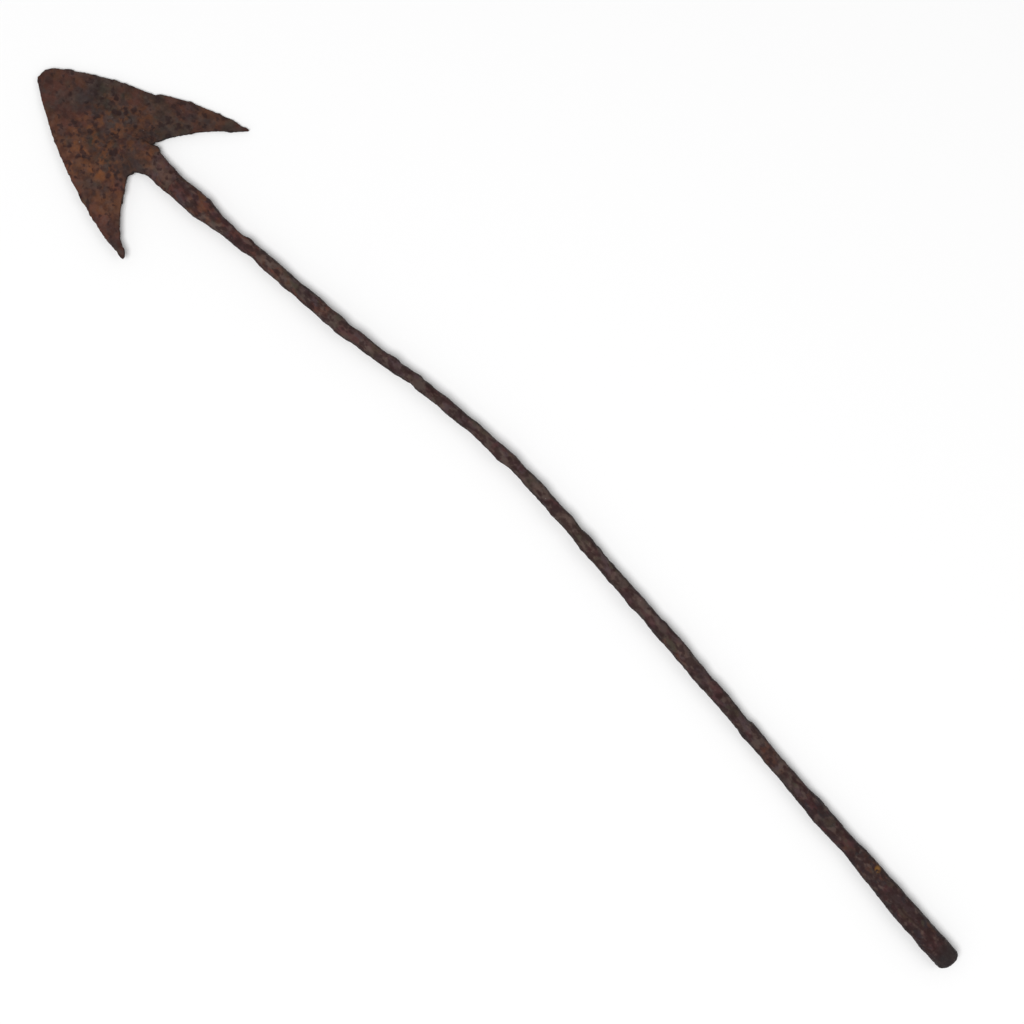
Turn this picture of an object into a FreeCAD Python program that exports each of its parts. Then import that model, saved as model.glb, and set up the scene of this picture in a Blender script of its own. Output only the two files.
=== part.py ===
"""A two-barbed harpoon iron: a flat, arrow-shaped head on a long, bent, hand-forged shank.

The iron lies on a flat surface at Z = 0. +X runs along the iron towards the head's point, +Y is the side of
the left barb, which is lifted a little, and the origin is under the middle of the whole iron.
Four forgings are fire-welded to each other:
  head_plate   the point and both barbs: one plate, ridged along its middle
  neck         a flat tongue lapped on to the plate, a waist, and a thick end scarfed to the shank
  shank        the long bent bar, whose tail lies inside the socket
  butt_socket  a plate wrapped round the shank's tail, with an open seam along its top and a closed round end
"""

import FreeCAD, Part
import os

import Sketcher

# The sheet of driving dimensions, in millimetres, degrees, or shares of a named size: alias, value, meaning.
SIZES = [
    # Lengths along the iron, one after the other from the point to the butt.
    ("crotch_back", 95.0, "from the point to the crotches, where the barbs leave the neck"),
    ("throat_length", 29.0, "from the crotches to the lip of the scarf weld, on top of the neck"),
    ("scarf_length", 42.0, "from the scarf's lip on top to its heel underneath"),
    ("shank_length", 585.0, "from the scarf's heel to the socket's front lip"),
    ("swell_length", 117.0, "the socket's tapered part"),
    ("butt_length", 46.0, "the socket's straight round part, along its own axis"),
    # Head plate: distances back from the point, and out from the plate's own middle line.
    ("head_side", 9.9, "where the point lies, to the left of the iron's middle"),
    ("head_turn", 4.5, "the plate's middle line turned from the iron's, in degrees"),
    ("barb_lift", 7.0, "how far the left barb's tip stands above the point and the right barb's tip"),
    ("edge_bulge", 9.5, "how far the right edge stands outside the line from the point to its barb's tip"),
    ("nose_flat", 3.7, "half the width of the blunt nose"),
    ("nose_width", 8.4, "half the width where the nose's bevels meet the edges"),
    ("nose_depth", 4.2, "length of the nose's bevels"),
    ("left_reach", 130.5, "from the point back to the left barb's tip"),
    ("left_span", 66.4, "from the middle line out to the left barb's tip"),
    ("right_reach", 141.0, "from the point back to the right barb's tip"),
    ("right_span", 64.6, "from the middle line out to the right barb's tip"),
    ("tip_width", 2.4, "width of each barb's blunt tip"),
    ("crotch_half", 14.6, "from the middle line out to each crotch"),
    ("left_edge", 320.0, "radius of the left cutting edge"),
    ("right_edge", 205.0, "radius of the right cutting edge, in front of and behind its nick"),
    ("left_hook", 118.0, "radius of the left barb's inner edge"),
    ("right_hook", 150.0, "radius of the right barb's inner edge"),
    ("nick_back", 75.2, "from the point to the corner behind the nick in the right edge"),
    ("nick_span", 43.4, "from the middle line out to that corner"),
    ("nick_step", 3.8, "how far the edge steps in at the nick"),
    ("nick_run", 3.4, "length of the nick's slope"),
    ("nose_thickness", 3.2, "thickness on the ridge at the point"),
    ("ridge_thickness", 7.0, "thickness on the ridge level with the right barb's tip"),
    ("edge_thickness", 2.0, "thickness at the barbs' tips"),
    ("slab_margin", 2.0, "how far the slab that the plate is cut from reaches past the left barb's tip"),
    # Neck.
    ("tongue_reach", 18.0, "how far the tongue runs forward on the plate"),
    ("tongue_width", 18.5, "width of the tongue halfway along it"),
    ("tongue_thickness", 4.2, "thickness of the tongue halfway along it"),
    ("tongue_step", 1.3, "how far the tongue stands above the plate"),
    ("tongue_lean", 1.2, "how far the tongue's tip lies to the left of the throat"),
    ("tongue_sink", 1.6, "from the plate's top down to the middle of the tongue's tip"),
    ("tongue_tip_wide", 0.54, "width of the tongue's tip, as a share of the tongue's"),
    ("tongue_tip_thick", 0.45, "thickness of the tongue's tip, as a share of the tongue's"),
    ("throat_gap", 2.6, "from each crotch in to the side of the neck"),
    ("throat_thickness", 8.0, "thickness of the neck at the crotches"),
    ("throat_back", 2.0, "from the crotches back to where the neck has that thickness"),
    ("throat_shift", 0.8, "how far the throat lies to the right of the plate's middle line"),
    ("neck_width", 16.3, "width of the neck over the weld"),
    ("neck_thickness", 10.4, "thickness of the neck over the weld"),
    ("scarf_edge", 1.2, "thickness of the scarf's two blunt ends"),
    # Shank and socket.
    ("shank_width", 10.0, "width of the bar where its share is 1"),
    ("tail_share", 1.1, "width of the tail in the straight part of the socket, as a share of the bar's"),
    ("tail_end_share", 0.9, "width of the tail's end, as a share of the bar's"),
    ("roundness", 0.95, "the bar's thickness as a share of its width"),
    ("tail_reach", 40.0, "how far the shank's tail runs into the straight part of the socket"),
    ("butt_width", 17.5, "diameter of the straight part of the socket"),
    ("butt_side", 7.9, "where the straight part's front end lies, to the left of the iron's middle"),
    ("butt_turn", 4.6, "the straight part's axis turned from the iron's, in degrees"),
    ("butt_round", 5.5, "rounding of the butt's end"),
    ("seam_width", 1.0, "width of the open seam"),
    ("seam_stop", 8.0, "from the seam's end to the butt's end"),
]

# The neck behind the crotches: name, share of the way from the crotches to the scarf's lip (0 to 1) and on to
# its heel (1 to 2), place to the side, height of the middle, and shares of the neck's width and thickness.
NECK_SECTIONS = [
    ("waist", 0.42, 0.1, 7.4, 1.12, 0.90),
    ("lip", 1.00, 0.6, 8.3, 1.00, 0.96),
    ("weld", 1.33, -0.6, 8.9, 1.00, 1.00),
    ("swell", 1.64, -1.5, 9.4, 1.02, 1.05),
]

# The shank's bends, from the scarf's heel at 0 to the socket's lip at 1: share of the shank's length, place
# to the side, height of the underside, and share of the shank's width.
BENDS = [
    (0.00, -1.9, 4.4, 1.18),
    (0.02, -3.1, 4.4, 0.99),
    (0.07, -5.7, 4.6, 1.04),
    (0.15, -8.3, 5.0, 1.01),
    (0.20, -10.3, 5.4, 1.06),
    (0.25, -14.2, 5.8, 1.02),
    (0.31, -20.0, 6.2, 0.95),
    (0.38, -23.7, 6.6, 0.93),
    (0.48, -26.1, 6.8, 0.92),
    (0.56, -23.3, 6.6, 0.98),
    (0.64, -19.1, 6.2, 1.03),
    (0.72, -15.8, 5.6, 1.13),
    (0.80, -11.7, 4.8, 1.11),
    (0.90, -6.6, 3.8, 1.14),
]

# The socket's tapered part, from its lip at 0 to its straight part at 1: share of its length, place to the
# side, width of the tail inside as a share of the shank's, and the wall as a share of the butt's wall.
SWELLS = [
    (0.00, -1.3, 1.17, 0.25),
    (0.25, 0.7, 1.12, 0.37),
    (0.45, 2.0, 1.08, 0.31),
    (0.64, 4.0, 1.10, 0.59),
    (0.83, 6.1, 1.10, 0.85),
]

# The seam's middle: share of the way from the lip to the straight part (0 to 1) and on to the butt's end
# (1 to 2), and how far it strays to the left of the socket's middle.
SEAM = [(-0.02, -0.6), (0.25, 0.8), (0.45, -0.5), (0.64, 1.0), (0.83, 2.2), (1.0, 1.6), (2.0, 0.4)]

# Places along X, as formulas of the sheet's cells.
BUTT_REACH = (
    "((Sizes.butt_length - Sizes.butt_round) * cos(Sizes.butt_turn)"
    " + (Sizes.butt_width / 2 - Sizes.butt_round) * sin(Sizes.butt_turn) + Sizes.butt_round)"
)
POINT_X = (
    "((Sizes.crotch_back + Sizes.throat_length + Sizes.scarf_length + Sizes.shank_length"
    f" + Sizes.swell_length + {BUTT_REACH} - Sizes.nose_flat * sin(Sizes.head_turn)) / 2)"
)
CROTCH_X = f"({POINT_X} - Sizes.crotch_back)"
LIP_X = f"({CROTCH_X} - Sizes.throat_length)"
HEEL_X = f"({LIP_X} - Sizes.scarf_length)"
SOCKET_X = f"({HEEL_X} - Sizes.shank_length)"
BUTT_X = f"({SOCKET_X} - Sizes.swell_length)"

# The tipped plate: how far the left barb's tip lies from the line through the point and the right barb's tip,
# the height of that line, and the heights of the plate's underside and ridge at the crotches.
TILT_ARM = (
    "((Sizes.right_reach * Sizes.left_span + Sizes.right_span * Sizes.left_reach)"
    " / sqrt(Sizes.right_reach^2 + Sizes.right_span^2))"
)
HEAD_LIFT = f"(Sizes.edge_bulge * Sizes.barb_lift / {TILT_ARM})"
PLATE_UNDER = (
    f"({HEAD_LIFT} + Sizes.barb_lift * Sizes.right_span * Sizes.crotch_back"
    " / (Sizes.right_reach * Sizes.left_span + Sizes.right_span * Sizes.left_reach))"
)
PLATE_TOP = (
    f"({PLATE_UNDER} + Sizes.nose_thickness"
    " + (Sizes.ridge_thickness - Sizes.nose_thickness) * Sizes.crotch_back / Sizes.right_reach)"
)
TONGUE_SIDE = "(Sizes.head_side - Sizes.crotch_back * sin(Sizes.head_turn) - Sizes.throat_shift)"
BUTT_WALL = "((Sizes.butt_width - Sizes.shank_width * Sizes.tail_share) / 2)"
CLEAR = 5.0  # how far cutting shapes run past what they cut


def make_sheet(document):
    """Write every driving dimension into its own named cell."""
    sheet = document.addObject("Spreadsheet::Sheet", "Sizes")
    rows = list(SIZES)
    for name, _, side, height, wide, thick in NECK_SECTIONS:
        rows.append((f"{name}_side", side, f"place of the {name} to the left"))
        rows.append((f"{name}_height", height, f"height of the {name}'s middle"))
        rows.append((f"{name}_wide", wide, f"share of the neck's width at the {name}"))
        rows.append((f"{name}_thick", thick, f"share of the neck's thickness at the {name}"))
    for index, (_, side, rise, share) in enumerate(BENDS):
        rows.append((f"bend_{index}_side", side, "place of this bend to the left"))
        rows.append((f"bend_{index}_rise", rise, "height of the underside at this bend"))
        rows.append((f"bend_{index}_share", share, "share of the shank's width at this bend"))
    for index, (_, side, share, wall) in enumerate(SWELLS):
        rows.append((f"swell_{index}_side", side, "place of this part of the socket to the left"))
        rows.append((f"swell_{index}_share", share, "share of the shank's width inside it"))
        rows.append((f"swell_{index}_wall", wall, "share of the butt's wall round it"))
    for row, (alias, value, meaning) in enumerate(rows, start=1):
        sheet.set(f"A{row}", meaning)
        sheet.set(f"B{row}", str(value))
        sheet.setAlias(f"B{row}", alias)
    document.recompute()


def number(expression):
    """Work out a formula of the sheet's cells."""
    result = document.Sizes.evalExpression(expression)
    return float(getattr(result, "Value", result))


def new_body(name):
    return document.addObject("PartDesign::Body", name)


def new_sketch(body, name, plane, side="0", height="0", along="0", turn=None):
    """Attach a sketch to one of the body's origin planes, moved by formulas in the plane's own directions."""
    sketch = body.newObject("Sketcher::SketchObject", name)
    planes = [feature for feature in body.Origin.OriginFeatures if feature.Role == plane]
    sketch.AttachmentSupport = [(planes[0], "")]
    sketch.MapMode = "FlatFace"
    if turn is not None:
        upright = FreeCAD.Rotation(FreeCAD.Vector(0, 1, 0), 1)
        sketch.AttachmentOffset = FreeCAD.Placement(FreeCAD.Vector(), upright)
        sketch.setExpression("AttachmentOffset.Rotation.Angle", turn)
    sketch.setExpression("AttachmentOffset.Base.x", side)
    sketch.setExpression("AttachmentOffset.Base.y", height)
    sketch.setExpression("AttachmentOffset.Base.z", along)
    return sketch


def bind(sketch, constraint, name, expression):
    """Add a constraint whose value follows a formula of the sheet's cells."""
    index = sketch.addConstraint(constraint)
    sketch.renameConstraint(index, name)
    sketch.setExpression(f"Constraints.{name}", expression)


def oval_section(body, name, side, height, along, width, thickness, turn=None):
    """An ellipse across the iron. It is always wider than it is thick."""
    sketch = new_sketch(body, name, "YZ_Plane", side, height, along, turn)
    across, upward = number(width), number(thickness)
    sketch.addGeometry(Part.Ellipse(FreeCAD.Vector(), across / 2, upward / 2))
    sketch.exposeInternalGeometry(0)
    sketch.addConstraint(Sketcher.Constraint("Coincident", 0, 3, -1, 1))
    sketch.addConstraint(Sketcher.Constraint("Horizontal", 1))
    bind(sketch, Sketcher.Constraint("Distance", 1, 1, 1, 2, across), "width", width)
    bind(sketch, Sketcher.Constraint("Distance", 2, 1, 2, 2, upward), "thickness", thickness)
    return sketch


def round_section(body, name, side, height, along, width, turn):
    """A circle across the iron."""
    sketch = new_sketch(body, name, "YZ_Plane", side, height, along, turn)
    across = number(width)
    sketch.addGeometry(Part.Circle(FreeCAD.Vector(), FreeCAD.Vector(0, 0, 1), across / 2))
    sketch.addConstraint(Sketcher.Constraint("Coincident", 0, 3, -1, 1))
    bind(sketch, Sketcher.Constraint("Diameter", 0, across), "width", width)
    return sketch


def outline(sketch, corners):
    """Close an anticlockwise outline through the corners, each given as (x, y, radius) in formulas.

    The edge that leaves a corner is straight where the radius is None, an arc that bulges outward where it
    is a formula, and a hollow arc where it is a formula that starts with a minus sign.
    """
    points = [FreeCAD.Vector(number(x), number(y), 0) for x, y, _ in corners]
    starts, ends = [], []
    for index, (_, _, radius) in enumerate(corners):
        start, end = points[index], points[(index + 1) % len(points)]
        hollow = radius is not None and radius.startswith("-")
        starts.append(2 if hollow else 1)
        ends.append(1 if hollow else 2)
        if radius is None:
            sketch.addGeometry(Part.LineSegment(start, end))
            continue
        chord = end - start
        reach = abs(number(radius))
        sag = reach - (reach ** 2 - (chord.Length / 2) ** 2) ** 0.5
        outward = FreeCAD.Vector(chord.y, -chord.x, 0).normalize() * (-sag if hollow else sag)
        sketch.addGeometry(Part.Arc(start, (start + end) * 0.5 + outward, end))
    for index, (x, y, radius) in enumerate(corners):
        before = index - 1 if index else len(corners) - 1
        joint = Sketcher.Constraint("Coincident", before, ends[before], index, starts[index])
        sketch.addConstraint(joint)
        place_x = Sketcher.Constraint("DistanceX", -1, 1, index, starts[index], points[index].x)
        place_y = Sketcher.Constraint("DistanceY", -1, 1, index, starts[index], points[index].y)
        bind(sketch, place_x, f"x{index}", x)
        bind(sketch, place_y, f"y{index}", y)
        if radius is not None:
            size = radius.lstrip("-")
            bind(sketch, Sketcher.Constraint("Radius", index, number(size)), f"radius{index}", size)


def loft(body, name, sections, ruled=False):
    feature = body.newObject("PartDesign::AdditiveLoft", name)
    feature.Profile = sections[0]
    feature.Sections = sections[1:]
    feature.Ruled = ruled
    return feature


def pad(body, name, sketch, length, backward=False):
    feature = body.newObject("PartDesign::Pad", name)
    feature.Profile = sketch
    feature.Reversed = backward
    feature.setExpression("Length", length)
    return feature


def boolean(kind, label, base, tool):
    """A Part::Cut or Part::Common of two objects of the document."""
    result = document.addObject(kind, label)
    result.Base = base
    result.Tool = tool
    result.Label = label
    return result


def make_head_plate():
    """A plate whose top falls from a middle ridge to both edges, cut to the arrow-shaped outline.

    It is drawn with its point at the origin and its middle line along -X, then turned, and tipped about the
    line through the point and the right barb's tip.
    """
    slab = new_body("ridged_slab")
    half = "(Sizes.left_span + Sizes.slab_margin)"
    ends = [("front", "0", "Sizes.nose_thickness"), ("back", "-Sizes.right_reach", "Sizes.ridge_thickness")]
    sections = []
    for name, along, ridge in ends:
        sketch = new_sketch(slab, f"slab_{name}", "YZ_Plane", along=along)
        roof = [
            (f"-{half}", "0", None),
            (half, "0", None),
            (half, "Sizes.edge_thickness", None),
            ("0", ridge, None),
            (f"-{half}", "Sizes.edge_thickness", None),
        ]
        outline(sketch, roof)
        sections.append(sketch)
    loft(slab, "slab", sections, ruled=True)

    arrow = new_body("arrow_blank")
    sketch = new_sketch(arrow, "arrow_outline", "XY_Plane", along=f"-{CLEAR}")
    corners = [
        ("0", "Sizes.nose_flat", None),
        ("-Sizes.nose_depth", "Sizes.nose_width", "Sizes.left_edge"),
        ("-Sizes.left_reach", "Sizes.left_span", None),
        ("-Sizes.left_reach", "Sizes.left_span - Sizes.tip_width", "-Sizes.left_hook"),
        ("-Sizes.crotch_back", "Sizes.crotch_half", None),
        ("-Sizes.crotch_back", "-Sizes.crotch_half", "-Sizes.right_hook"),
        ("-Sizes.right_reach", "Sizes.tip_width - Sizes.right_span", None),
        ("-Sizes.right_reach", "-Sizes.right_span", "Sizes.right_edge"),
        ("-Sizes.nick_back", "-Sizes.nick_span", None),
        ("Sizes.nick_run - Sizes.nick_back", "Sizes.nick_step - Sizes.nick_span", "Sizes.right_edge"),
        ("-Sizes.nose_depth", "-Sizes.nose_width", None),
        ("0", "-Sizes.nose_flat", None),
    ]
    outline(sketch, corners)
    pad(arrow, "arrow", sketch, f"Sizes.ridge_thickness + 2 * {CLEAR}")

    plate = boolean("Part::Common", "head_plate", slab, arrow)
    turned = (
        f"placement(vector({POINT_X}; Sizes.head_side; {HEAD_LIFT});"
        " rotation(vector(0; 0; 1); Sizes.head_turn))"
    )
    tipped = (
        "placement(vector(0; 0; 0); rotation(vector(Sizes.right_reach; Sizes.right_span; 0);"
        f" asin(Sizes.barb_lift / {TILT_ARM})))"
    )
    plate.setExpression("Placement", f"{turned} * {tipped}")
    return plate


def make_bar():
    """The neck, the shank and its tail as one bar, before the scarf divides it."""
    body = new_body("whole_bar")
    sections = [
        oval_section(
            body, "tongue_tip", f"{TONGUE_SIDE} + Sizes.tongue_lean", f"{PLATE_TOP} - Sizes.tongue_sink",
            f"{CROTCH_X} + Sizes.tongue_reach", "Sizes.tongue_width * Sizes.tongue_tip_wide",
            "Sizes.tongue_thickness * Sizes.tongue_tip_thick",
        ),
        oval_section(
            body, "tongue_middle", f"{TONGUE_SIDE} + Sizes.tongue_lean / 2",
            f"{PLATE_TOP} + Sizes.tongue_step - Sizes.tongue_thickness / 2",
            f"{CROTCH_X} + Sizes.tongue_reach / 2", "Sizes.tongue_width", "Sizes.tongue_thickness",
        ),
        oval_section(
            body, "throat", TONGUE_SIDE, f"{PLATE_UNDER} + Sizes.throat_thickness / 2",
            f"{CROTCH_X} - Sizes.throat_back", "2 * (Sizes.crotch_half - Sizes.throat_gap)",
            "Sizes.throat_thickness",
        ),
    ]
    for name, share, *_ in NECK_SECTIONS:
        lip_share, heel_share = min(share, 1), max(share - 1, 0)
        along = f"{CROTCH_X} - Sizes.throat_length * {lip_share} - Sizes.scarf_length * {heel_share:.2f}"
        width = f"Sizes.neck_width * Sizes.{name}_wide"
        thickness = f"Sizes.neck_thickness * Sizes.{name}_thick"
        side, height = f"Sizes.{name}_side", f"Sizes.{name}_height"
        sections.append(oval_section(body, name, side, height, along, width, thickness))
    for index, (share, *_) in enumerate(BENDS):
        width = f"Sizes.shank_width * Sizes.bend_{index}_share"
        thickness = f"{width} * Sizes.roundness"
        height = f"Sizes.bend_{index}_rise + {thickness} / 2"
        along = f"{HEEL_X} - Sizes.shank_length * {share}"
        side = f"Sizes.bend_{index}_side"
        sections.append(oval_section(body, f"bend_{index}", side, height, along, width, thickness))
    middle = "Sizes.butt_width / 2"
    for index, (share, *_) in enumerate(SWELLS):
        width = f"Sizes.shank_width * Sizes.swell_{index}_share"
        along = f"{SOCKET_X} - Sizes.swell_length * {share}"
        side = f"Sizes.swell_{index}_side"
        thickness = f"{width} * Sizes.roundness"
        sections.append(oval_section(body, f"tail_{index}", side, middle, along, width, thickness))
    for name, reach in [("tail", "0"), ("tail_end", "Sizes.tail_reach")]:
        width = f"Sizes.shank_width * Sizes.{name}_share"
        along = f"{BUTT_X} - {reach} * cos(Sizes.butt_turn)"
        side = f"Sizes.butt_side + {reach} * sin(Sizes.butt_turn)"
        thickness = f"{width} * Sizes.roundness"
        turn = "-Sizes.butt_turn"
        sections.append(oval_section(body, name, side, middle, along, width, thickness, turn))
    loft(body, "bar", sections, ruled=True)
    return body


def make_scarf_side():
    """Everything in front of the scarf, which slopes from a blunt lip on top to a blunt heel underneath."""
    body = new_body("scarf_side")
    half_width = "(Sizes.neck_width + Sizes.left_span)"
    sketch = new_sketch(body, "scarf_outline", "XZ_Plane", along=f"-{half_width}")
    front = f"{CROTCH_X} + Sizes.tongue_reach + {CLEAR}"
    above = "4 * Sizes.neck_thickness"
    lip = "Sizes.lip_height + Sizes.neck_thickness * Sizes.lip_thick / 2 - Sizes.scarf_edge"
    heel = "Sizes.bend_0_rise + Sizes.scarf_edge"
    corners = [
        (front, f"-{CLEAR}", None),
        (front, above, None),
        (LIP_X, above, None),
        (LIP_X, lip, None),
        (HEEL_X, heel, None),
        (HEEL_X, f"-{CLEAR}", None),
    ]
    outline(sketch, corners)
    pad(body, "scarf", sketch, f"2 * {half_width}")
    return body


def make_socket_form():
    """The socket before the shank's tail is taken out of it: tapered, then round, with a rounded end."""
    body = new_body("socket_form")
    sections = []
    for index, (share, *_) in enumerate(SWELLS):
        inside = f"Sizes.shank_width * Sizes.swell_{index}_share"
        wall = f"2 * {BUTT_WALL} * Sizes.swell_{index}_wall"
        along = f"{SOCKET_X} - Sizes.swell_length * {share}"
        side = f"Sizes.swell_{index}_side"
        width, thickness = f"{inside} + {wall}", f"{inside} * Sizes.roundness + {wall}"
        middle = "Sizes.butt_width / 2"
        sections.append(oval_section(body, f"wall_{index}", side, middle, along, width, thickness))
    place = ("Sizes.butt_side", "Sizes.butt_width / 2", BUTT_X)
    sections.append(round_section(body, "butt_start", *place, "Sizes.butt_width", "-Sizes.butt_turn"))
    loft(body, "taper", sections, ruled=True)
    base = round_section(body, "butt_section", *place, "Sizes.butt_width", "-Sizes.butt_turn")
    butt = pad(body, "butt", base, "Sizes.butt_length", backward=True)
    document.recompute()

    edges = butt.Shape.Edges
    last = min(range(len(edges)), key=lambda index: edges[index].CenterOfMass.x)
    rounding = body.newObject("PartDesign::Fillet", "butt_rounding")
    rounding.Base = (butt, [f"Edge{last + 1}"])
    rounding.setExpression("Radius", "Sizes.butt_round")
    document.recompute()

    sketch = new_sketch(body, "seam_outline", "XY_Plane", along="Sizes.butt_width / 2")
    outline(sketch, seam_corners())
    seam = body.newObject("PartDesign::Pocket", "seam")
    seam.Profile = sketch
    seam.Type = "ThroughAll"
    seam.Reversed = True
    return body


def seam_corners():
    """Both sides of the seam, which wanders about the socket's middle."""
    left, right = [], []
    sides = {share: f"Sizes.swell_{index}_side" for index, (share, *_) in enumerate(SWELLS)}
    for share, stray in SEAM:
        if share < 1:
            along = f"{SOCKET_X} - Sizes.swell_length * ({share})"
            side = sides.get(share, "Sizes.swell_0_side")
        else:
            reach = f"(Sizes.butt_length - Sizes.seam_stop) * {share - 1}"
            along = f"{BUTT_X} - {reach} * cos(Sizes.butt_turn)"
            side = f"Sizes.butt_side + {reach} * sin(Sizes.butt_turn)"
        left.append((along, f"{side} + {stray} + Sizes.seam_width / 2", None))
        right.append((along, f"{side} + {stray} - Sizes.seam_width / 2", None))
    return left + right[::-1]


def check(objects):
    """Stop if any object of the document failed, or any sub-part has no valid solid."""
    failed = [item.Name for item in document.Objects if {"Invalid", "Error"} & set(item.State)]
    if failed:
        raise RuntimeError(f"these objects failed: {failed}")
    for item in objects:
        shape = item.Shape
        if shape.isNull() or not shape.isValid() or len(shape.Solids) != 1:
            raise RuntimeError(f"{item.Label} isn't one valid solid")


document = FreeCAD.newDocument("HarpoonIron")
make_sheet(document)
head_plate = make_head_plate()
bar = make_bar()
scarf_side = make_scarf_side()
front_bar = boolean("Part::Common", "front_of_bar", bar, scarf_side)
neck = boolean("Part::Cut", "neck", front_bar, head_plate)
shank = boolean("Part::Cut", "shank", bar, scarf_side)
butt_socket = boolean("Part::Cut", "butt_socket", make_socket_form(), bar)
document.recompute()

sub_parts = [head_plate, neck, shank, butt_socket]
check(sub_parts)
os.makedirs("parts", exist_ok=True)
for sub_part in sub_parts:
    sub_part.Shape.exportStep(f"parts/{sub_part.Label}.step")
    print(f"{sub_part.Label}: {sub_part.Shape.Volume:.0f} cubic mm")
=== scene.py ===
"""A rusted, hand-forged harpoon iron lying on white paper, seen from straight above.

Each of the four forgings is remade from its CAD solid as a dense skin, which is then worked like the real
iron: hammered uneven along its length, nibbled along its edges, scaled, blistered and pitted by rust.
The scene is in metres. The skins are worked in millimetres, and so are all sizes of noise and of spots.
"""

import math

import bpy
import numpy as np
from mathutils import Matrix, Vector
from mathutils.bvhtree import BVHTree


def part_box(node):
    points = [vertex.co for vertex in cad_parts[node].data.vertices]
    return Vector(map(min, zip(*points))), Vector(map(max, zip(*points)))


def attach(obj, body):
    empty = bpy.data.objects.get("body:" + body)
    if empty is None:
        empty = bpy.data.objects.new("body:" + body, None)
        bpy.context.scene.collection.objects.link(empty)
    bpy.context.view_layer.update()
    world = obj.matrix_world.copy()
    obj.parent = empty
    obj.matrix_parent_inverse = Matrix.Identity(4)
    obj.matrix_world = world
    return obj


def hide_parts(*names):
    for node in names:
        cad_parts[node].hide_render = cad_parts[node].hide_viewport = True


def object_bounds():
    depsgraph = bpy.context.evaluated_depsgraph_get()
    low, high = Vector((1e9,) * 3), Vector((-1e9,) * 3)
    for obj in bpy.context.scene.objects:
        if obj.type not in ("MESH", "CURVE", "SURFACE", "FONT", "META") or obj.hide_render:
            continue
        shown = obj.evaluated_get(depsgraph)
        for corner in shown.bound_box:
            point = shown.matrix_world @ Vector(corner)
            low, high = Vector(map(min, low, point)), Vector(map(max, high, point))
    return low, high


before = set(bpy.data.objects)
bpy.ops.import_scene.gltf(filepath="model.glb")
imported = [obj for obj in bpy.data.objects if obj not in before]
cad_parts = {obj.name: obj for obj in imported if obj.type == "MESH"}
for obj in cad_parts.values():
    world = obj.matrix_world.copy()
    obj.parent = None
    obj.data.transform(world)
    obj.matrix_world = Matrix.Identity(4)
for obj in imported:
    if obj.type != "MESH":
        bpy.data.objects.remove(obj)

CAD_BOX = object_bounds()
MM = 0.001

HEAD_LOW, HEAD_HIGH = (Vector(corner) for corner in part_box("head_plate"))
NECK_LOW, NECK_HIGH = (Vector(corner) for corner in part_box("neck"))
SOCKET_LOW, SOCKET_HIGH = (Vector(corner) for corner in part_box("butt_socket"))
IRON_LOW, IRON_HIGH = (Vector(corner) for corner in CAD_BOX)


def place(low, high, along, across):
    """A point on top of a box, by shares of its length and width."""
    return Vector((low.x + (high.x - low.x) * along, low.y + (high.y - low.y) * across, high.z))


# Spots on the iron that it is worked or painted around.
HEART = place(HEAD_LOW, HEAD_HIGH, 0.47, 0.53)
LEFT_CROTCH = place(HEAD_LOW, HEAD_HIGH, 0.297, 0.603)
LEFT_TIP = place(HEAD_LOW, HEAD_HIGH, 0.01, 0.995)
RIGHT_TIP = place(HEAD_LOW, HEAD_HIGH, 0.01, 0.01)
SCARF_WELD = place(NECK_LOW, NECK_HIGH, 0.16, 0.38)


# ---------------------------------------------------------------------------------------------- noise

# Large odd numbers that scatter the bits of neighbouring cells.
CELL_FACTORS = (73856093, 19349663, 83492791)
SEED_FACTOR = 2654435761
MIX_FACTORS = (1274126177, 2246822519)
LOW_32_BITS = 0xFFFFFFFF
LOW_24_BITS = 0xFFFFFF
LAYER_SHIFT = 17.3  # moves each layer of noise off the one before it

# How a pit is made. Lengths are shares of the cell that it lies in.
PIT_RADIUS, PIT_RADIUS_SPREAD = 0.22, 0.30
PIT_FAINTEST = 0.45  # the depth of the faintest pit, as a share of the deepest
RIM_WANDER, RIM_WAVE = 0.16, 0.45  # how far a pit's rim wanders, and the size of its waves


def lattice(cells, seed):
    """A number from 0 to 1 for each whole-number cell."""
    mixed = seed * SEED_FACTOR
    for axis, factor in enumerate(CELL_FACTORS):
        mixed = mixed ^ (cells[..., axis].astype(np.int64) * factor)
    for shift, factor in zip((13, 16), MIX_FACTORS):
        mixed = (mixed ^ (mixed >> shift)) * factor & LOW_32_BITS
    return ((mixed ^ (mixed >> 15)) & LOW_24_BITS) / float(LOW_24_BITS)


def noise(points, size, seed):
    """Smooth noise from -1 to 1, whose lumps are about `size` across."""
    scaled = points / size
    base = np.floor(scaled)
    part = scaled - base
    part = part ** 3 * (part * (part * 6 - 15) + 10)
    total = np.zeros(len(points))
    for corner in np.ndindex(2, 2, 2):
        offset = np.array(corner)
        weight = np.prod(np.where(offset, part, 1 - part), axis=1)
        total += weight * lattice(base + offset, seed)
    return total * 2 - 1


def layered(points, size, seed, layers=3):
    """Noise with finer noise on top of it, each layer half as large and half as strong as the one before."""
    total, strength, most = np.zeros(len(points)), 1.0, 0.0
    for layer in range(layers):
        total += strength * noise(points + LAYER_SHIFT * layer, size / 2 ** layer, seed + layer)
        most += strength
        strength /= 2
    return total / most


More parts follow.
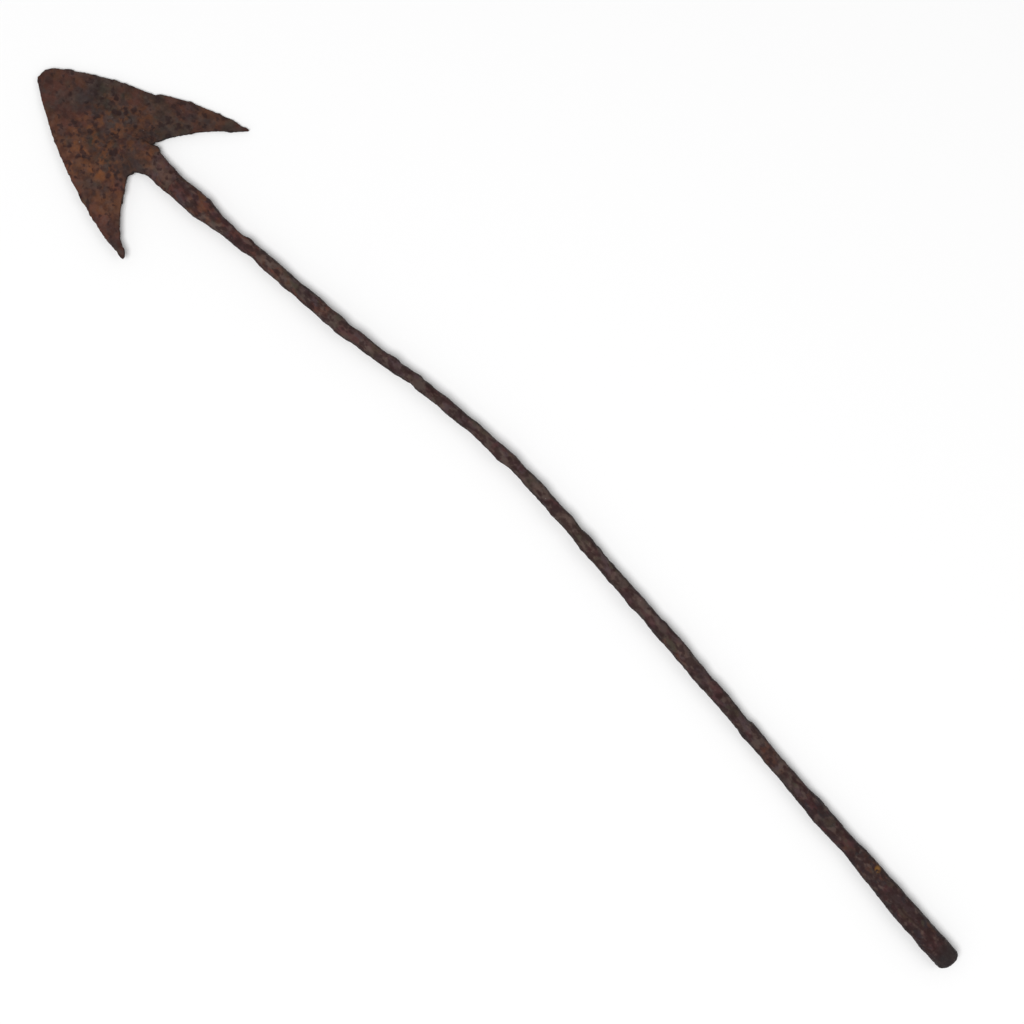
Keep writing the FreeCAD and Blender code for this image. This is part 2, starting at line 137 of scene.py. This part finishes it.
def pits(points, size, seed, chance):
    """Ragged hollows, at most one in each cell of `size`: up to 1 at a hollow's bottom, 0 outside."""
    drift = np.stack([noise(points, size * RIM_WAVE, seed + 7 + axis) for axis in range(3)], axis=1)
    points = points + drift * size * RIM_WANDER
    base = np.floor(points / size)
    depth = np.zeros(len(points))
    for corner in np.ndindex(3, 3, 3):
        cell = base + np.array(corner) - 1
        middle = np.stack([lattice(cell, seed + axis) for axis in range(3)], axis=1)
        radius = size * (PIT_RADIUS + PIT_RADIUS_SPREAD * lattice(cell, seed + 3))
        there = lattice(cell, seed + 4) < chance
        strength = PIT_FAINTEST + (1 - PIT_FAINTEST) * lattice(cell, seed + 5)
        reach = np.linalg.norm(points - (cell + middle) * size, axis=1) / radius
        depth = np.maximum(depth, np.where(there, strength * np.clip(1 - reach ** 2, 0, 1) ** 1.3, 0))
    return depth


def ramp(values, low, high):
    """0 below `low`, 1 above `high`, smooth between."""
    share = np.clip((values - low) / (high - low), 0, 1)
    return share * share * (3 - 2 * share)


def near(points, spot, radius):
    """1 around a spot, falling smoothly to 0 at `radius`. Only X and Y count."""
    reach = np.linalg.norm(points[:, :2] - np.array(spot[:2]) / MM, axis=1) / radius
    return 1 - ramp(reach, 0.35, 1.0)


def along_bar(points, stretch):
    """Points drawn together along the iron, so that noise on them makes lumps longer than they are wide."""
    drawn = points.copy()
    drawn[:, 0] /= stretch
    return drawn


# ---------------------------------------------------------------------------------------------- skins

WELD_REACH = 0.9  # skin this near to another forging, in mm, counts as welded to it
WELD_FILL = 0.2  # how far welded skin is swelled at least, in mm, so that no gap shows
MOST_PAINT = 2  # paint may be laid over paint, up to this


def read(piece):
    """The piece's points in millimetres, and their normals."""
    mesh = piece.data
    points = np.empty(len(mesh.vertices) * 3)
    normals = np.empty(len(mesh.vertices) * 3)
    mesh.vertices.foreach_get("co", points)
    mesh.vertex_normals.foreach_get("vector", normals)
    return points.reshape(-1, 3) / MM, normals.reshape(-1, 3)


def write(piece, points):
    """Move the piece's points, which are given in millimetres."""
    piece.data.vertices.foreach_set("co", (points * MM).ravel())
    piece.data.update()


def even_skin(piece, grain, rounds):
    """Replace the piece's mesh by an even skin of small faces, its corners rubbed round."""
    remesh = piece.modifiers.new("remesh", "REMESH")
    remesh.mode = "VOXEL"
    remesh.voxel_size = grain * MM
    smooth = piece.modifiers.new("smooth", "SMOOTH")
    smooth.factor = 0.5
    smooth.iterations = rounds
    evaluated = piece.evaluated_get(bpy.context.evaluated_depsgraph_get())
    mesh = bpy.data.meshes.new_from_object(evaluated)
    piece.modifiers.clear()
    piece.data = mesh


def skin(node, grain, rounds, close=0.0):
    """A new piece with the node's shape. Grooves narrower than twice `close` (in mm) are filled."""
    piece = bpy.data.objects.new(f"{node}_forging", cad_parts[node].data.copy())
    bpy.context.scene.collection.objects.link(piece)
    if close:
        even_skin(piece, grain, 0)
        points, normals = read(piece)
        write(piece, points + close * normals)
    even_skin(piece, grain, rounds)
    if close:
        points, normals = read(piece)
        write(piece, points - close * normals)
    piece.data.name = f"{node}_skin"
    piece.data.materials.clear()
    for face in piece.data.polygons:
        face.use_smooth = True
    return piece


def surface_of(node):
    """The node's CAD surface, for finding what lies near it."""
    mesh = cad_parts[node].data
    corners = [vertex.co for vertex in mesh.vertices]
    return BVHTree.FromPolygons(corners, [face.vertices for face in mesh.polygons])


def welded(points, nodes):
    """1 where the skin lies against another forging, 0 elsewhere."""
    touching = np.zeros(len(points))
    for node in nodes:
        low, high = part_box(node)
        low = np.array(low) / MM - WELD_REACH
        high = np.array(high) / MM + WELD_REACH
        inside = np.all((points > low) & (points < high), axis=1)
        surface = surface_of(node)
        for index in np.flatnonzero(inside):
            if surface.find_nearest(Vector(points[index] * MM), WELD_REACH * MM)[0] is not None:
                touching[index] = 1
    return touching


def paint(piece, name, values):
    """Keep a number at each point of the skin, for the material to read."""
    layer = piece.data.attributes.new(name, "FLOAT", "POINT")
    layer.data.foreach_set("value", np.clip(values, 0, MOST_PAINT).astype(np.float32))


def paint_all(piece, points, **painted):
    """Paint every layer that the rust reads. Unnamed ones stay at 0, but for random dark patches in the shade
    layer.
    """
    patches = 0.65 * ramp(layered(points, 10, seed=151, layers=2), -0.2, 0.4)
    painted["dusk"] = painted.get("dusk", 0) + patches
    for name in ("bloom", "spot", "dark", "dusk", "worn"):
        paint(piece, name, painted.get(name, np.zeros(len(points))))


def forge(piece, neighbours, hammer, scale, pit_field, pit_depth, edge_bite, swell=None, shape=None):
    """Work the skin: hammer marks, rust scale, pits and nibbled edges. Depths are in millimetres.

    `swell` gives each point a height along its normal, and `shape` a shift. The points are returned as they
    lay before the work, so that paint stays in place.
    """
    points, normals = read(piece)
    upright = np.abs(normals[:, 2])
    # How steep the skin is: it guides the nibbled edges, and it is painted as shade on the steep sides.
    steepness_and_shade = 1 - ramp(upright, 0.35, 0.8)
    flakes = layered(points, 7, seed=23, layers=4)
    nibbles = layered(points, 5.0, seed=47) - 0.3 * ramp(noise(points, 8, seed=53), 0.2, 0.5)
    hollow = pit_field(points) * ramp(upright, 0.2, 0.6)
    lift = hammer * layered(along_bar(points, 2.2), 11, seed=3, layers=2)
    lift += scale * (ramp(flakes, 0.02, 0.10) - 0.5)
    lift += scale * 0.8 * layered(points, 2.6, seed=31)
    lift += edge_bite * steepness_and_shade * nibbles
    lift -= pit_depth * hollow
    if swell is not None:
        lift += swell(points)
    lift = np.where(welded(points, neighbours) > 0, np.maximum(lift, WELD_FILL), lift)
    moved = points + normals * lift[:, None]
    if shape is not None:
        moved += shape(points)
    moved[:, 2] = np.maximum(moved[:, 2], 0)
    write(piece, moved)
    paint(piece, "hollow", hollow)
    paint(piece, "flake", ramp(flakes, 0.0, 0.12))
    # Painted shade: the steep sides are darkened in the colour.
    paint(piece, "steepness_and_shade", steepness_and_shade)
    return points


# ------------------------------------------------------------------------------------------- materials

# Linear red, green, blue and alpha.
BROWN = (0.099, 0.0385, 0.0190, 1)
UMBER = (0.077, 0.0515, 0.0435, 1)
RED = (0.098, 0.0320, 0.0225, 1)
WINE = (0.066, 0.0225, 0.0245, 1)
MAROON = (0.042, 0.0150, 0.0165, 1)
OLIVE = (0.053, 0.0400, 0.0270, 1)
PLUM = (0.064, 0.0385, 0.0420, 1)
MAUVE = (0.027, 0.0165, 0.0195, 1)
SLATE = (0.022, 0.0165, 0.0165, 1)
ORANGE = (0.158, 0.0560, 0.0200, 1)
DUST = (0.108, 0.0700, 0.0580, 1)
OCHRE = (0.260, 0.1200, 0.0160, 1)
BLACK = (0.013, 0.0080, 0.0080, 1)
SORE = (0.025, 0.0085, 0.0078, 1)
# Painted glints.
GLINT_PALE = (0.300, 0.2600, 0.2400, 1)

CLOUD_EDGE = 0.11  # how far a cloud's noise rises from where the cloud starts to where it is full
SHADE_AND_TONE_SHARE = 0.36  # how thickly black lies over full painted shade and dark tone
SIDE_SHADE_SHARE = 0.6  # how thickly black lies over the iron's steep sides, as painted shade

# Blender's Mix node has sockets for each kind of data. These are the ones that it uses for colours.
MIX_SHARE, MIX_FIRST, MIX_SECOND, MIX_RESULT = 0, 6, 7, 2


class Rust:
    """Builds one rust material out of patterns that are fixed in the iron's own space."""

    def __init__(self, name, stretch):
        self.material = bpy.data.materials.new(name)
        self.material.use_nodes = True
        self.tree = self.material.node_tree
        self.shader = self.tree.nodes["Principled BSDF"]
        self.space = self.node("ShaderNodeTexCoord").outputs["Object"]
        self.stretch = stretch

    def node(self, kind, **settings):
        made = self.tree.nodes.new(kind)
        for setting, value in settings.items():
            setattr(made, setting, value)
        return made

    def join(self, output, target):
        self.tree.links.new(output, target)

    def pattern(self, size, detail, rough, shift=0.0):
        """Noise from 0 to 1 whose lumps are about `size` millimetres across. Each shift gives another one."""
        move = self.node("ShaderNodeMapping")
        move.inputs["Location"].default_value = (shift, shift * 0.7, shift * 1.3)
        move.inputs["Scale"].default_value = (1 / self.stretch, 1, 1)
        texture = self.node("ShaderNodeTexNoise")
        texture.inputs["Scale"].default_value = 1 / (size * MM)
        texture.inputs["Detail"].default_value = detail
        texture.inputs["Roughness"].default_value = rough
        self.join(self.space, move.inputs["Vector"])
        self.join(move.outputs["Vector"], texture.inputs["Vector"])
        return texture.outputs["Fac"]

    def specks(self, size):
        """Distance from scattered points, about `size` millimetres apart."""
        texture = self.node("ShaderNodeTexVoronoi")
        texture.inputs["Scale"].default_value = 1 / (size * MM)
        self.join(self.space, texture.inputs["Vector"])
        return texture.outputs["Distance"]

    def painted(self, name):
        """A number kept at the skin's points."""
        return self.node("ShaderNodeAttribute", attribute_name=name).outputs["Fac"]

    def band(self, value, low, high, most=1.0, least=0.0):
        """`least` where the value is at `low`, `most` where it is at `high`, smooth between."""
        made = self.node("ShaderNodeMapRange", interpolation_type="SMOOTHSTEP")
        made.inputs["From Min"].default_value = low
        made.inputs["From Max"].default_value = high
        made.inputs["To Min"].default_value = least
        made.inputs["To Max"].default_value = most
        self.join(value, made.inputs["Value"])
        return made.outputs["Result"]

    def patches(self, size, low, high, most=1.0, detail=3, shift=0.0):
        """Patches about `size` millimetres across: 0 where their noise is under `low`, `most` over `high`."""
        return self.band(self.pattern(size, detail, 0.5, shift), low, high, most)

    def times(self, first, second):
        """The product of an output and another output or a number."""
        made = self.node("ShaderNodeMath", operation="MULTIPLY")
        self.join(first, made.inputs[0])
        if isinstance(second, float):
            made.inputs[1].default_value = second
        else:
            self.join(second, made.inputs[1])
        return made.outputs["Value"]

    def mix(self, share, first, second):
        """The second colour laid over the first, as thickly as the share says."""
        made = self.node("ShaderNodeMix", data_type="RGBA")
        for index, value in ((MIX_FIRST, first), (MIX_SECOND, second)):
            if isinstance(value, tuple):
                made.inputs[index].default_value = value
            else:
                self.join(value, made.inputs[index])
        self.join(share, made.inputs[MIX_SHARE])
        return made.outputs[MIX_RESULT]

    def bump(self, heights):
        """One Bump node for each (height, distance in mm), each on top of the one before it."""
        last = None
        for height, distance in heights:
            made = self.node("ShaderNodeBump")
            made.inputs["Strength"].default_value = 1.0
            made.inputs["Distance"].default_value = distance * MM
            self.join(height, made.inputs["Height"])
            if last is not None:
                self.join(last, made.inputs["Normal"])
            last = made.outputs["Normal"]
        self.join(last, self.shader.inputs["Normal"])


def rust(name, ground, clouds, stretch=1.0, mottle=0.55, dusty=0.55, flake=0.22, relief=1.0):
    """Old rust on a ground colour.

    Each cloud is (colour, size in mm, where its noise starts, share, painted mask or None). Over them lie
    raised flakes, dark mottling, dusty patches, painted orange bloom, dents, pits, painted shade and a few
    pale grains as painted glints.
    """
    made = Rust(name, stretch)
    colour = ground
    for number, (cloud, size, start, share, mask) in enumerate(clouds, start=1):
        cover = made.patches(size, start, start + CLOUD_EDGE, share, detail=2, shift=0.31 * number)
        if mask:
            cover = made.times(cover, made.painted(mask))
        colour = made.mix(cover, colour, cloud)
    grain = made.pattern(1.6, detail=5, rough=0.7)
    # A few pale grains, as painted glints.
    painted_glints = made.times(made.band(made.specks(3.2), 0.20, 0.10), made.band(grain, 0.62, 0.70))
    for share, over in (
        (made.times(made.painted("flake"), flake), RED),
        (made.patches(5.6, 0.44, 0.60, mottle, detail=4, shift=0.8), SORE),
        (made.patches(5.0, 0.52, 0.66, dusty, detail=4, shift=1.7), DUST),
        (made.times(made.patches(5.2, 0.44, 0.68, shift=0.2), made.painted("bloom")), ORANGE),
        (made.patches(5.0, 0.56, 0.65, 0.75, detail=2, shift=0.44), SORE),
        (made.band(made.painted("hollow"), 0.0, 0.55, 0.9), SORE),
        # Painted shade, and random patches of darker tone.
        (made.times(made.painted("dusk"), SHADE_AND_TONE_SHARE), BLACK),
        (made.painted("spot"), OCHRE),
        # Painted shade in the left crotch and at the butt end.
        (made.painted("dark"), SLATE),
        # Painted shade on the steep sides.
        (made.times(made.painted("steepness_and_shade"), SIDE_SHADE_SHARE), BLACK),
        # Painted glints.
        (painted_glints, GLINT_PALE),
    ):
        colour = made.mix(share, colour, over)
    made.join(colour, made.shader.inputs["Base Color"])
    rough = made.band(made.pattern(3.5, detail=5, rough=0.6, shift=0.11), 0.3, 0.7, most=0.90, least=0.55)
    made.join(rough, made.shader.inputs["Roughness"])
    made.shader.inputs["Specular IOR Level"].default_value = 0.2
    scale = made.pattern(4.0, detail=6, rough=0.6, shift=0.65)
    dust = made.pattern(0.7, detail=3, rough=0.55, shift=0.9)
    made.bump([(scale, 0.8 * relief), (grain, 0.35 * relief), (dust, 0.15 * relief)])
    return made.material


HEAD_CLOUDS = [
    (RED, 24, 0.46, 0.75, None),
    (OLIVE, 22, 0.48, 0.85, "dusk"),
    (PLUM, 14, 0.53, 0.45, "dusk"),
    (UMBER, 9, 0.50, 0.55, "dusk"),
]
NECK_CLOUDS = [
    (UMBER, 10, 0.42, 0.80, "worn"),
    (PLUM, 11, 0.48, 0.85, "worn"),
    (WINE, 12, 0.52, 0.60, "worn"),
    (OLIVE, 12, 0.54, 0.70, "worn"),
]
SHANK_CLOUDS = [
    (PLUM, 12, 0.46, 0.95, None),
    (OLIVE, 11, 0.52, 0.90, None),
    (RED, 9, 0.46, 0.90, "worn"),
    (WINE, 10, 0.54, 0.70, None),
    (MAROON, 7, 0.56, 0.80, None),
]
SOCKET_CLOUDS = [
    (SLATE, 14, 0.46, 0.85, None),
    (BROWN, 11, 0.57, 0.50, None),
    (MAROON, 9, 0.50, 0.90, None),
    (WINE, 8, 0.56, 0.70, None),
    (OLIVE, 10, 0.56, 0.70, None),
]


# ---------------------------------------------------------------------------------------------- pieces

SCARF_TOP = 8  # in mm: at the scarf, the shank's upper side lies above this
SOCKET_TOP = 10  # in mm: the socket's upper side lies above this

# Each barb's tip, how far the barb leans across for each step along, and how sharply it is pinched.
BARBS = [(LEFT_TIP, -0.55, 0.25), (RIGHT_TIP, 0.62, 0.55)]


def finish(piece, node, material):
    """Give the piece its material and its place in the frame."""
    piece.data.materials.append(material)
    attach(piece, "root")
    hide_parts(node)


# Pieces that meet share these, so that the paint runs on over their weld.

def heart_bloom(points):
    """Orange rust around the middle of the head."""
    return 0.05 + 0.75 * near(points, HEART, 44)


def crotch_dark(points):
    """A dark patch of painted shade in the left crotch."""
    return 0.6 * near(points, LEFT_CROTCH, 16)


def weld_crust(points):
    """1 on the crusted weld between the neck and the shank, fading out around it."""
    return near(points, SCARF_WELD, 22)


def head_dusk(points):
    """Painted shade on the plate's right half, with greyer rust there too, fading out to the left."""
    middle = (HEAD_LOW.y + HEAD_HIGH.y) / 2 / MM
    return 1 - 0.9 * ramp(points[:, 1], middle + 8, middle + 38)


def make_head():
    piece = skin("head_plate", grain=0.48, rounds=2)
    left_patch = place(HEAD_LOW, HEAD_HIGH, 0.30, 0.76)
    left_side = place(HEAD_LOW, HEAD_HIGH, 0.54, 0.70)
    right_patch = place(HEAD_LOW, HEAD_HIGH, 0.26, 0.17)
    crotch_fill = (-1.7, 0, 0)
    tip_bend = (-1.0, -1.2, 0)
    point_length, barb_half_width = 9, 8

    def pitted(points):
        crowded = near(points, HEART, 66)
        large = pits(points, 8.0, seed=61, chance=0.60) * (0.4 + 0.6 * crowded)
        small = pits(points, 5.5, seed=71, chance=0.50) * crowded
        return np.maximum(large, small) * (1 - near(points, LEFT_CROTCH, 11))

    def shaped(points):
        """Fill the left crotch, draw each barb out to its point, and bend the left one in a little."""
        shift = np.outer(near(points, LEFT_CROTCH, 6), crotch_fill)
        for tip, lean, sharp in BARBS:
            run = np.array((1, lean)) / math.hypot(1, lean)
            aside = np.array((-run[1], run[0]))
            from_tip = points[:, :2] - np.array(tip)[:2] / MM
            on_barb = np.abs(from_tip @ aside) < barb_half_width
            pinch = sharp * (1 - ramp(from_tip @ run, 0, point_length)) * on_barb
            shift[:, :2] -= np.outer(pinch * (from_tip @ aside), aside)
        return shift + np.outer(near(points, LEFT_TIP, 16), tip_bend)

    points = forge(
        piece, ["neck"], hammer=0.32, scale=0.20, pit_field=pitted, pit_depth=0.7, edge_bite=1.4,
        shape=shaped,
    )
    patches = 0.3 * near(points, left_patch, 30) + 0.3 * near(points, right_patch, 26)
    patches += 0.4 * near(points, left_side, 36)
    paint_all(
        piece, points,
        bloom=heart_bloom(points) + patches,
        dark=crotch_dark(points),
        # Painted shade on the right half, and a darker tone at the left barb's tip.
        dusk=head_dusk(points) + 0.6 * near(points, LEFT_TIP, 38),
    )
    finish(piece, "head_plate", rust("head_rust", BROWN, HEAD_CLOUDS, mottle=0.45, dusty=0.2))


def make_neck():
    piece = skin("neck", grain=0.42, rounds=3)
    spur = place(NECK_LOW, NECK_HIGH, 0.75, 0.02)
    root = place(NECK_LOW, NECK_HIGH, 0.84, 0.5).x / MM
    tongue_end = NECK_HIGH.x / MM
    sunk = (0, 0, -1.1)

    def pitted(points):
        return 0.8 * pits(points, 5.0, seed=83, chance=0.28)

    def swollen(points):
        """Crust on the scarf weld, a spur at the right crotch and more iron at the left one."""
        crust = weld_crust(points) * (0.3 + 1.2 * layered(points, 4.2, seed=91))
        spots = 0.9 * near(points, LEFT_CROTCH, 7) + 0.9 * near(points, spur, 3.5)
        return crust + spots + 0.5 * noise(along_bar(points, 1.5), 9, seed=95)

    def sunk_tongue(points):
        """Beat the tongue's tip into the plate."""
        return np.outer(ramp(points[:, 0], root, tongue_end), sunk)

    points = forge(
        piece, ["head_plate", "shank"], hammer=0.35, scale=0.22, pit_field=pitted, pit_depth=0.55,
        edge_bite=0.7, swell=swollen, shape=sunk_tongue,
    )
    worn = 1 - ramp(points[:, 0], root - 14, tongue_end - 4)
    paint_all(
        piece, points,
        bloom=heart_bloom(points) + 0.4 * weld_crust(points),
        dark=crotch_dark(points),
        # The head's painted shade runs on over the neck's front.
        dusk=head_dusk(points) * (1 - worn),
        worn=worn,
    )
    material = rust("neck_rust", BROWN, HEAD_CLOUDS + NECK_CLOUDS, mottle=0.45, dusty=0.2)
    finish(piece, "neck", material)


def make_shank():
    piece = skin("shank", grain=0.6, rounds=2)
    tail, scarf_lip = (corner[0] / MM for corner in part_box("shank"))

    def pitted(points):
        return 0.7 * pits(points, 6.0, seed=97, chance=0.18)

    def uneven(points):
        """Short and long swellings along the bar, and a raised lip at the scarf."""
        short = 0.85 * noise(along_bar(points, 1.35), 7, seed=101)
        long = 0.35 * noise(along_bar(points, 2.2), 15, seed=103)
        lip = 0.5 * ramp(points[:, 0], scarf_lip - 7, scarf_lip - 2) * (points[:, 2] > SCARF_TOP)
        return 0.10 + short + long + lip

    points = forge(
        piece, ["neck", "butt_socket"], hammer=0.2, scale=0.16, pit_field=pitted, pit_depth=0.5,
        edge_bite=0.5, swell=uneven,
    )
    stretches = ramp(noise(points, 26, seed=107), 0.15, 0.5)
    paint_all(
        piece, points,
        bloom=0.35 * stretches + 0.4 * weld_crust(points),
        dusk=0.4 * (1 - ramp(points[:, 0], tail + 220, tail + 340)),
        worn=ramp(points[:, 0], scarf_lip - 230, scarf_lip - 90),
    )
    material = rust("shank_rust", UMBER, SHANK_CLOUDS, stretch=1.4, mottle=0.75, flake=0.1, relief=1.6)
    finish(piece, "shank", material)


def centre_line(points, step=4.0):
    """The middle of a bar's width at each point of it."""
    stations = np.arange(points[:, 0].min(), points[:, 0].max() + step, step)
    bins = np.digitize(points[:, 0], stations)
    middles = [points[bins == index, 1] for index in range(1, len(stations))]
    middles = [(part.min() + part.max()) / 2 for part in middles]
    return np.interp(points[:, 0], stations[:-1] + step / 2, middles)


def make_socket():
    piece = skin("butt_socket", grain=0.45, rounds=2, close=0.7)
    flake = place(SOCKET_LOW, SOCKET_HIGH, 0.53, 0.27)
    blister = place(SOCKET_LOW, SOCKET_HIGH, 0.575, 0.43)
    blister_radius, blister_rim = 2.6, 0.8
    seam_width = 1.1
    lip_thinning = 0.8
    butt, lip = SOCKET_LOW.x / MM, SOCKET_HIGH.x / MM

    def seam(points):
        """1 along the wandering line where the wrapped iron meets itself."""
        along = points * (1, 0, 0)
        wander = 2.2 * noise(along, 13, seed=137) + 0.6 * noise(along, 4, seed=139)
        off_line = points[:, 1] - centre_line(points) - wander
        shown = ramp(points[:, 0], butt + 8, butt + 14) * (1 - ramp(points[:, 0], lip - 110, lip - 80))
        return np.exp(-(off_line / seam_width) ** 2) * shown * (points[:, 2] > SOCKET_TOP)

    def pitted(points):
        return np.maximum(0.8 * pits(points, 6.0, seed=113, chance=0.22), 0.45 * seam(points))

    def uneven(points):
        """Short and long swellings, and the ring of a rust blister."""
        from_blister = np.linalg.norm(points[:, :2] - np.array(blister[:2]) / MM, axis=1)
        ring = 0.4 * np.exp(-((from_blister - blister_radius) / blister_rim) ** 2)
        short = 0.45 * noise(along_bar(points, 1.35), 8, seed=127)
        long = 0.35 * noise(along_bar(points, 2.2), 17, seed=131)
        return 0.24 + ring * (points[:, 2] > SOCKET_TOP) + short + long

    def feathered_lip(points):
        """Thin the mouth of the socket towards the shank, as a hammered weld is."""
        mouth = points[points[:, 0] > lip - 4]
        outward = points[:, 1:] - mouth[:, 1:].mean(axis=0)
        outward /= np.linalg.norm(outward, axis=1)[:, None]
        inward = -lip_thinning * ramp(points[:, 0], lip - 18, lip - 1)
        return np.column_stack((np.zeros(len(points)), outward * inward[:, None]))

    points = forge(
        piece, ["shank"], hammer=0.3, scale=0.2, pit_field=pitted, pit_depth=0.5, edge_bite=0.4,
        swell=uneven, shape=feathered_lip,
    )
    paint_all(
        piece, points,
        bloom=0.3 * near(points, flake, 18),
        spot=0.7 * near(points, flake, 3.2) * ramp(noise(points, 1.7, seed=141), -0.9, -0.3),
        # Painted shade at the butt end, where it rounds away.
        dark=0.85 * (1 - ramp(points[:, 0], butt + 5, butt + 20)),
    )
    material = rust("socket_rust", MAUVE, SOCKET_CLOUDS, stretch=1.3, mottle=0.8, flake=0.15, relief=1.3)
    finish(piece, "butt_socket", material)


# ----------------------------------------------------------------------------------- floor, light, camera

PAPER_REACH = 4.0
PAPER_WHITE = (0.90, 0.90, 0.90, 1)
LAMP_DISTANCE = 4.2
SURROUND = 0.38  # how bright the white all round is
FRAME_WIDTH = 0.734  # what the picture takes in, at the height of the iron
FRAME_CENTRE = place(IRON_LOW, IRON_HIGH, 0.494, 0.495)
LENS, SENSOR = 85.0, 36.0  # in mm
TURN = math.radians(-135.73)  # how far the picture is turned about the line of sight


def make_floor():
    mesh = bpy.data.meshes.new("paper")
    corners = [(x * PAPER_REACH, y * PAPER_REACH, 0) for x, y in ((-1, -1), (1, -1), (1, 1), (-1, 1))]
    mesh.from_pydata(corners, [], [(0, 1, 2, 3)])
    floor = bpy.data.objects.new("paper", mesh)
    bpy.context.scene.collection.objects.link(floor)
    material = bpy.data.materials.new("white_paper")
    material.use_nodes = True
    shader = material.node_tree.nodes["Principled BSDF"]
    shader.inputs["Base Color"].default_value = PAPER_WHITE
    shader.inputs["Roughness"].default_value = 0.9
    shader.inputs["Specular IOR Level"].default_value = 0.1
    mesh.materials.append(material)


def make_light(name, direction, size, power):
    """A round lamp that faces the origin, which lies under the middle of the iron."""
    lamp = bpy.data.lights.new(name, "AREA")
    lamp.shape = "DISK"
    lamp.size = size
    lamp.energy = power
    light = bpy.data.objects.new(name, lamp)
    light.location = Vector(direction).normalized() * LAMP_DISTANCE
    light.rotation_euler = light.location.to_track_quat("Z", "Y").to_euler()
    bpy.context.scene.collection.objects.link(light)


def make_camera():
    camera_data = bpy.data.cameras.new("camera")
    camera_data.lens = LENS
    camera_data.sensor_width = SENSOR
    camera = bpy.data.objects.new("camera", camera_data)
    middle_height = (IRON_LOW.z + IRON_HIGH.z) / 2
    distance = FRAME_WIDTH * LENS / SENSOR
    camera.location = (FRAME_CENTRE.x, FRAME_CENTRE.y, middle_height + distance)
    camera.rotation_euler = (0, 0, TURN)
    bpy.context.scene.collection.objects.link(camera)
    bpy.context.scene.camera = camera


def make_world():
    world = bpy.data.worlds.new("soft_white")
    bpy.context.scene.world = world
    world.use_nodes = True
    background = world.node_tree.nodes["Background"]
    background.inputs["Color"].default_value = (1, 1, 1, 1)
    background.inputs["Strength"].default_value = SURROUND


make_head()
make_neck()
make_shank()
make_socket()
make_floor()
make_world()
make_light("key", direction=(0.0, 0.25, 1.0), size=2.4, power=125)
make_light("fill", direction=(-0.7, -0.7, 1.4), size=2.7, power=24)
make_camera()
bpy.context.scene.view_settings.view_transform = "Standard"
